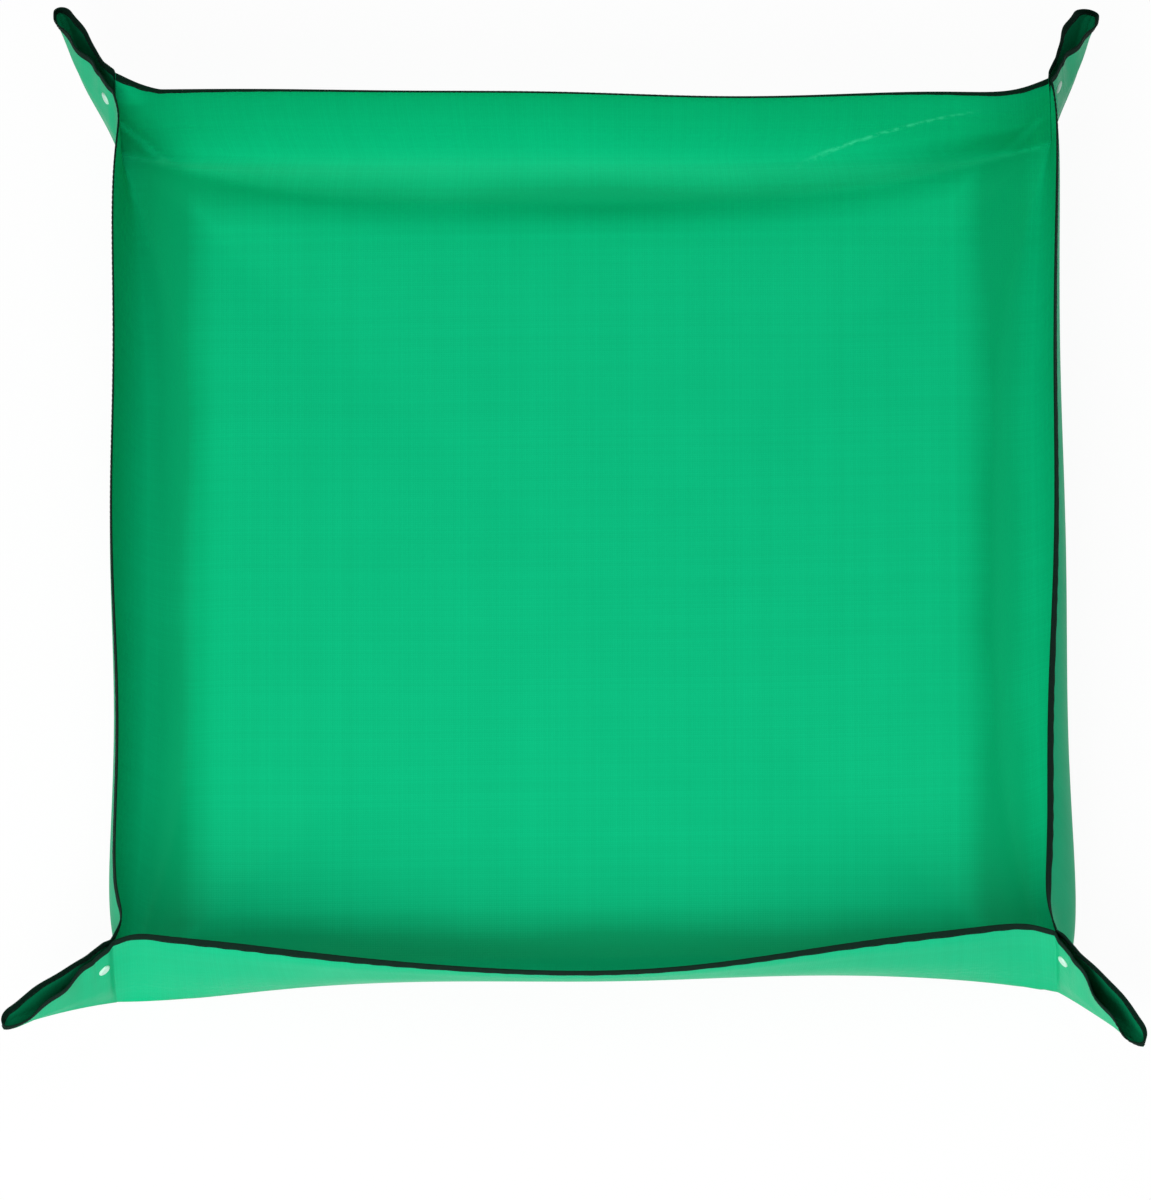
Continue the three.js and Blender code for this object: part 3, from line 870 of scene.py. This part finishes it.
# One stitch is a short length of thread. Past its even body it narrows towards both ends.
bpy.ops.object.select_all(action="DESELECT")
bpy.ops.mesh.primitive_cylinder_add(
    vertices=STITCH_SIDES, radius=STITCH_RADIUS, depth=STITCH_LENGTH * STITCH_BODY)
stitch = bpy.context.object
bpy.ops.object.mode_set(mode="EDIT")
bpy.ops.mesh.select_all(action="DESELECT")
bpy.ops.mesh.select_face_by_sides(number=STITCH_SIDES)
bpy.ops.mesh.extrude_region_move(TRANSFORM_OT_translate={"value": (0, 0, 0)})
bpy.ops.transform.resize(value=(STITCH_POINT, STITCH_POINT, 1 / STITCH_BODY), center_override=(0, 0, 0))
bpy.ops.object.mode_set(mode="OBJECT")
stitch_points = points_of(stitch)
stitch_faces = [list(polygon.vertices) for polygon in stitch.data.polygons]
bpy.data.objects.remove(stitch)


def lay_stitches(name, leaf_at, run, along, inside):
    """A row of stitches along each face of a tape, as one mesh of copies of the stitch."""
    middle = leaf_at(np.full(len(run), STITCH_DROP))
    centres = np.arange(STITCH_MARGIN, run[-1] - STITCH_MARGIN, STITCH_PITCH)
    spread = stitch_points[None, :, :, None]
    points = []
    for face in (-1, 1):
        rows = []
        for row in (middle + inside * face * STITCH_LIFT, along, inside * face):
            rows.append(np.stack([np.interp(centres, run, axis) for axis in row.T], -1)[:, None, :])
        centre, length, height = rows
        width = np.cross(length, height)
        lengthways = spread[:, :, 2] * unit(length)
        upwards = spread[:, :, 0] * unit(height)
        points.append(centre + lengthways + upwards + spread[:, :, 1] * unit(width))
    points = np.concatenate(points).reshape(-1, 3)
    starts = range(0, len(points), len(stitch_points))
    faces = [[start + corner for corner in face] for start in starts for face in stitch_faces]
    mesh = bpy.data.meshes.new(name)
    mesh.from_pydata(points.tolist(), [], faces)
    piece = bpy.data.objects.new(name, mesh)
    scene.collection.objects.link(piece)
    pick(piece)
    bpy.ops.object.mode_set(mode="EDIT")
    bpy.ops.mesh.select_all(action="SELECT")
    bpy.ops.mesh.normals_make_consistent(inside=False)
    bpy.ops.object.mode_set(mode="OBJECT")
    bpy.ops.object.shade_smooth_by_angle(angle=FOLD_ANGLE)
    piece.data.materials.append(thread_finish)
    return piece


RIM_COLUMNS = 240
RIM_CROWDING = 0.25
RIM_STEP = 0.001


def rim_edge(wall, u):
    """The edge of a wall, at stations from its first end (-1) to its last (1)."""

    def leaf_at(down):
        """The middle of the wall's cloth, so far below its rim."""
        up = unit(up_wall(wall, u, down=down) - up_wall(wall, u, down=down + RIM_STEP))
        inward = np.stack([-up[:, 1], up[:, 0]], -1)
        return stand_wall(wall, u, up_wall(wall, u, down=down) + inward * CLOTH / 2)

    return leaf_at


for wall, name in enumerate(WALLS):
    rim = rim_edge(wall, crowd(np.linspace(-1, 1, RIM_COLUMNS + 1), RIM_CROWDING))
    tape, line = lay_tape(f"{name}_rim_tape", rim, RIM_COLUMNS)
    stitches = lay_stitches(f"{name}_rim_stitches", rim, *line)
    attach(tape, "tray")
    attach(stitches, "tray")
    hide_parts(f"{name}_rim_binding")

EAR_COLUMNS = 140
KEEL_LIMIT = 0.9


def mouth_edge(ear, way):
    """The edge of an ear's mouth, from one leaf's crease (-1) over the tip (0) to the other's (1)."""
    side = np.where(way < 0, -1, 1)
    share = 1 - np.abs(way)

    def leaf_at(down):
        """The middle of the leaf's cloth, so far below the edge."""
        top = ear_point(ear, side, share, np.ones_like(share))
        keel = ear_point(ear, side, share, np.zeros_like(share))
        height = np.linalg.norm(top - keel, axis=-1)
        return ear_point(ear, side, share, 1 - np.clip(down / height, 0, KEEL_LIMIT))

    return leaf_at


for ear, name in enumerate(EARS):
    cloth = ear_cloths[ear]
    first = crease_share(ear, -1) - 1
    last = 1 - crease_share(ear, 1)
    mouth = mouth_edge(ear, np.linspace(first, last, EAR_COLUMNS + 1))
    tape, line = lay_tape(f"{name}_ear_tape", mouth, EAR_COLUMNS)
    stitches = lay_stitches(f"{name}_ear_stitches", mouth, *line)
    for piece in (cloth, tape, stitches):
        open_with_snap(piece)
    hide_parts(f"{name}_ear_stud_leaf", f"{name}_ear_socket_leaf")
    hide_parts(f"{name}_stud_leaf_binding", f"{name}_socket_leaf_binding")
    for side, start, end in ((-1, -1, first), (1, last, 1)):
        edge = mouth_edge(ear, np.linspace(start, end, STRIP_COLUMNS + 1))
        strip, _ = lay_tape(f"{name}_{leaf_name(ear, side)}_crease_tape", edge, STRIP_COLUMNS)
        bend_at_crease(strip, ear, side)

# Snaps: one to each ear, of pale moulded plastic. A cap is pressed through each leaf from its outer side,
# and the stud behind one cap clicks into the socket behind the other. Profiles are (radius, height).
CAP_PROFILE = (
    (0.00130, 0.00175), (0.00130, 0.00252), (0.00490, 0.00252), (0.00535, 0.00270), (0.00540, 0.00320),
    (0.00515, 0.00375), (0.00450, 0.00420), (0.00360, 0.00445), (0.00320, 0.00445), (0.00290, 0.00430),
    (0.00160, 0.00442), (0.00020, 0.00450),
)
STUD_PROFILE = (
    (0.00440, 0.00170), (0.00480, 0.00155), (0.00480, 0.00100), (0.00450, 0.00090), (0.00240, 0.00090),
    (0.00190, 0.00055), (0.00190, 0.00020), (0.00230, -0.00010), (0.00230, -0.00050), (0.00190, -0.00090),
)
SOCKET_PROFILE = (
    (0.00440, 0.00170), (0.00480, 0.00155), (0.00480, -0.00040), (0.00460, -0.00060), (0.00290, -0.00060),
    (0.00260, -0.00040), (0.00260, 0.00120), (0.00020, 0.00120),
)
SNAP_SEGMENTS = 40
SNAP_ANGLE = math.radians(38)


def turn_profile(profile):
    """A turned piece: a disc, drawn out ring by ring along its profile of radius and height."""
    radius, height = profile[0]
    bpy.ops.object.select_all(action="DESELECT")
    bpy.ops.mesh.primitive_circle_add(
        vertices=SNAP_SEGMENTS, radius=radius, fill_type="NGON", location=(0, 0, height))
    piece = bpy.context.object
    bpy.ops.object.transform_apply(location=True, rotation=False, scale=False)
    bpy.ops.object.mode_set(mode="EDIT")
    bpy.ops.mesh.select_all(action="SELECT")
    for next_radius, next_height in profile[1:]:
        bpy.ops.mesh.extrude_region_move(TRANSFORM_OT_translate={"value": (0, 0, next_height - height)})
        wider = next_radius / radius
        bpy.ops.transform.resize(value=(wider, wider, 1), center_override=(0, 0, next_height))
        radius = next_radius
        height = next_height
    bpy.ops.mesh.select_all(action="SELECT")
    bpy.ops.mesh.normals_make_consistent(inside=False)
    bpy.ops.object.mode_set(mode="OBJECT")
    bpy.ops.object.shade_smooth_by_angle(angle=SNAP_ANGLE)
    return piece


def set_in_snap(model, name, ear, way):
    """A copy of a snap's piece at an ear's snap, facing the stud's cap (1) or the socket's cap (-1)."""
    heading = EAR_HEADING[ear]
    axis = snap_axis(ear) * way
    upright = np.array([0, 0, 1])
    place = np.eye(4)
    place[:3, 0] = np.cross(upright, axis)
    place[:3, 1] = upright
    place[:3, 2] = axis
    place[0, 3] = EAR_CORNER[ear][0] + SNAP_OUT * math.cos(heading)
    place[1, 3] = EAR_CORNER[ear][1] + SNAP_OUT * math.sin(heading)
    place[2, 3] = SNAP_UP
    piece = model.copy()
    piece.data = model.data.copy()
    piece.name = name
    piece.data.name = name
    piece.data.transform(Matrix(place.tolist()))
    scene.collection.objects.link(piece)
    return piece


SNAP_PALE = (0.60, 0.84, 0.72, 1)
SNAP_SHADE = (0.46, 0.74, 0.60, 1)
SNAP_MOTTLE = (700, 3)
SNAP_ROUGHNESS = 0.3
MOTTLE_ROUGHNESS = 0.2
SNAP_GLOSS = 0.35
SNAP_RELIEF = (0.2, 0.00004)

snap_finish, tree = new_finish("pale_moulded_plastic")
mottle = add_noise(tree, tree.nodes.new("ShaderNodeTexCoord").outputs["Object"], *SNAP_MOTTLE)
rough = reckon(tree, "ADD", reckon(tree, "MULTIPLY", mottle, MOTTLE_ROUGHNESS), SNAP_ROUGHNESS)
set_surface(tree, {
    "Base Color": mix_colours(tree, mottle, SNAP_PALE, SNAP_SHADE),
    "Roughness": rough,
    "Specular IOR Level": SNAP_GLOSS,
    "Normal": add_relief(tree, mottle, *SNAP_RELIEF),
})

# Each kind of piece, with its profile, the way that it faces, and the body that it rides on.
SNAP_PIECES = (
    ("stud_cap", CAP_PROFILE, 1, "stud_half"),
    ("stud", STUD_PROFILE, 1, "stud_half"),
    ("socket", SOCKET_PROFILE, -1, "ear"),
    ("socket_cap", CAP_PROFILE, -1, "ear"),
)
for kind, profile, way, body in SNAP_PIECES:
    model = turn_profile(profile)
    model.data.materials.append(snap_finish)
    for ear, name in enumerate(EARS):
        piece = set_in_snap(model, f"{name}_snap_{kind}", ear, way)
        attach(piece, f"{name}_{body}")
        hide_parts(f"{name}_{kind}")
    bpy.data.objects.remove(model)

# Table: a plain matt white top, on which the mat lies loose. It shows as white, and keeps the soft shadow
# that the mat casts.
TABLE_SIZE = 14
TABLE_TOP = -0.0004
TABLE_COLOUR = (0.9, 0.9, 0.9, 1)
TABLE_ROUGHNESS = 0.9
TABLE_GLOSS = 0.0
TABLE_WHITE = 0.95
WHITE = (1, 1, 1, 1)


def shown_directly(tree):
    """1 where white is seen straight, mirrored or through something clear, and 0 where it gives light."""
    rays = tree.nodes.new("ShaderNodeLightPath").outputs
    mirrored = reckon(tree, "MAXIMUM", rays["Is Glossy Ray"], rays["Is Transmission Ray"])
    return reckon(tree, "MAXIMUM", rays["Is Camera Ray"], mirrored)


bpy.ops.object.select_all(action="DESELECT")
bpy.ops.mesh.primitive_plane_add(size=TABLE_SIZE, location=(0, 0, TABLE_TOP))
table = bpy.context.object
table.name = "table"
table_finish, tree = new_finish("white_table")
set_surface(tree, {
    "Base Color": TABLE_COLOUR,
    "Roughness": TABLE_ROUGHNESS,
    "Specular IOR Level": TABLE_GLOSS,
})
glow = tree.nodes.new("ShaderNodeEmission")
glow.inputs["Color"].default_value = WHITE
mixed = tree.nodes.new("ShaderNodeMixShader")
whiteness = reckon(tree, "MULTIPLY", shown_directly(tree), TABLE_WHITE)
tree.links.new(whiteness, mixed.inputs["Fac"])
tree.links.new(tree.nodes["Principled BSDF"].outputs["BSDF"], mixed.inputs[1])
tree.links.new(glow.outputs["Emission"], mixed.inputs[2])
tree.links.new(mixed.outputs["Shader"], tree.nodes["Material Output"].inputs["Surface"])
table.data.materials.append(table_finish)

# Light: a wide soft lamp in front of the mat, to its left, and another overhead, in a pale even room.
# The room itself shows as white.
ROOM_LIGHT = 0.27
FRONT_LAMP = {"power": 80, "size": 1.8, "distance": 3.4, "elevation": 42, "azimuth": -17}
TOP_LAMP = {"power": 32, "size": 2.4, "distance": 3.0, "elevation": 90, "azimuth": 0}

world = bpy.data.worlds.new("pale_room")
scene.world = world
world.use_nodes = True
tree = world.node_tree
backdrop = tree.nodes["Background"]
backdrop.inputs["Color"].default_value = WHITE
brighter = reckon(tree, "MULTIPLY", shown_directly(tree), 1 - ROOM_LIGHT)
tree.links.new(reckon(tree, "ADD", brighter, ROOM_LIGHT), backdrop.inputs["Strength"])
for lamp in (FRONT_LAMP, TOP_LAMP):
    elevation = math.radians(lamp["elevation"])
    azimuth = math.radians(lamp["azimuth"])
    place = tuple(stand_off(lamp["distance"], elevation, azimuth))
    bpy.ops.object.select_all(action="DESELECT")
    bpy.ops.object.light_add(type="AREA", location=place, rotation=(math.pi / 2 - elevation, 0, azimuth))
    light = bpy.context.object.data
    light.shape = "DISK"
    light.size = lamp["size"]
    light.energy = lamp["power"]
